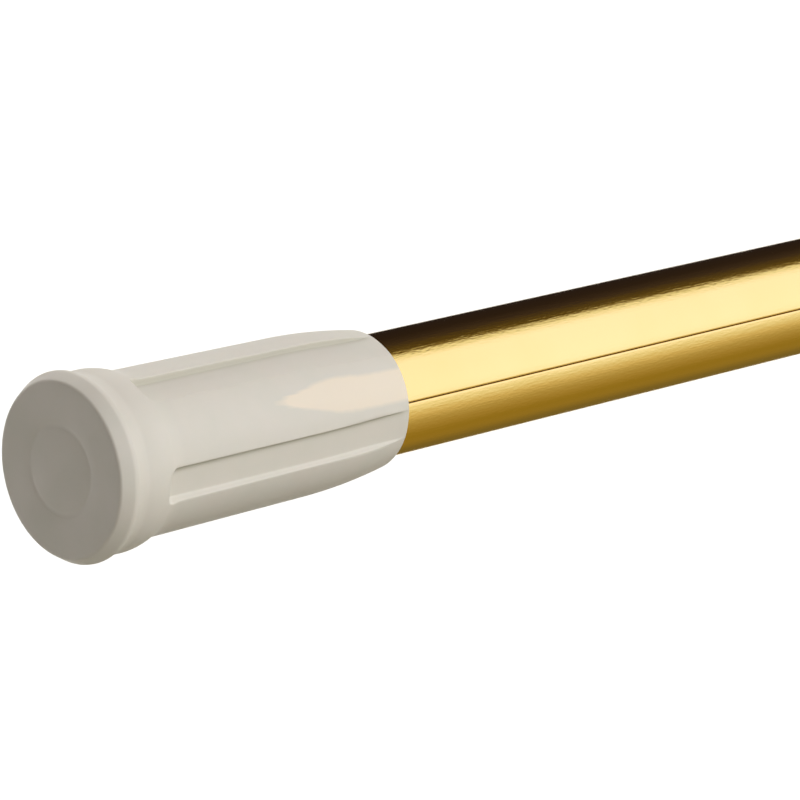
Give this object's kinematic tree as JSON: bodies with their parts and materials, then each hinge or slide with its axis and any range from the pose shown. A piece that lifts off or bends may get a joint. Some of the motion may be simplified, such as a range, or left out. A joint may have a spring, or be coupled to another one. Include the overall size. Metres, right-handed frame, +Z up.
{
  "type": "shower curtain rod",
  "caption": "Telescopic shower curtain rod of brass-look tube that an inner spring holds between two walls, with soft fluted end caps and a twist lock for its length.",
  "frame": {"origin": "centre of the large cap's wall face, on the tubes' axis", "axes": "+X along the rod from the large cap to the small cap, +Z up, +Y to the back"},
  "size_m": [1.067, 0.0376, 0.0376],
  "materials": {
    "brass_plated_tube": "polished",
    "soft_vinyl": "satin",
    "white_plastic": "moulded",
    "grey_plastic": "moulded",
    "black_plastic": "moulded",
    "zinc_steel": "zinc plated",
    "spring_steel": "drawn"
  },
  "bodies": {
    "outer_rod": {"large_tube": "brass_plated_tube", "large_cap": "soft_vinyl", "large_end_plug": "white_plastic", "mouth_bush": "white_plastic"},
    "lock_body": {"lock_sleeve": "grey_plastic"},
    "wedge_body": {"wedge_nut": "black_plastic"},
    "plunger_body": {"lock_stud": "zinc_steel", "stud_clip": "spring_steel", "thrust_washer": "zinc_steel", "plunger_shank": "grey_plastic", "shank_pin": "spring_steel", "spring_seat": "black_plastic", "seat_clip": "spring_steel", "tension_spring": "spring_steel"},
    "inner_rod": {"small_tube": "brass_plated_tube", "small_cap": "soft_vinyl", "small_end_plug": "white_plastic", "retaining_bush": "grey_plastic", "spring_stop": "black_plastic", "stop_washer": "zinc_steel"}
  },
  "joints": [
    {"name": "telescope", "type": "slide", "parent": "outer_rod", "child": "lock_body", "axis": [1, 0, 0], "range_m": [0, 0.762]},
    {"name": "twist", "type": "hinge", "parent": "lock_body", "child": "plunger_body", "pos_m": [0.09, 0, 0], "axis": [1, 0, 0], "range_deg": [0, 360]},
    {"name": "wedge_travel", "type": "slide", "parent": "lock_body", "child": "wedge_body", "axis": [1, 0, 0], "range_m": [0, 0.0025]},
    {"name": "spring_travel", "type": "slide", "parent": "plunger_body", "child": "inner_rod", "axis": [1, 0, 0], "range_m": [-0.04, 0], "stiffness_N_per_m": 1900, "springref_m": 0.02, "deforming": ["tension_spring"]}
  ],
  "couplings": [
    {"joint": "wedge_travel", "follows": "twist", "m_per_rad": 0.00039789}
  ]
}
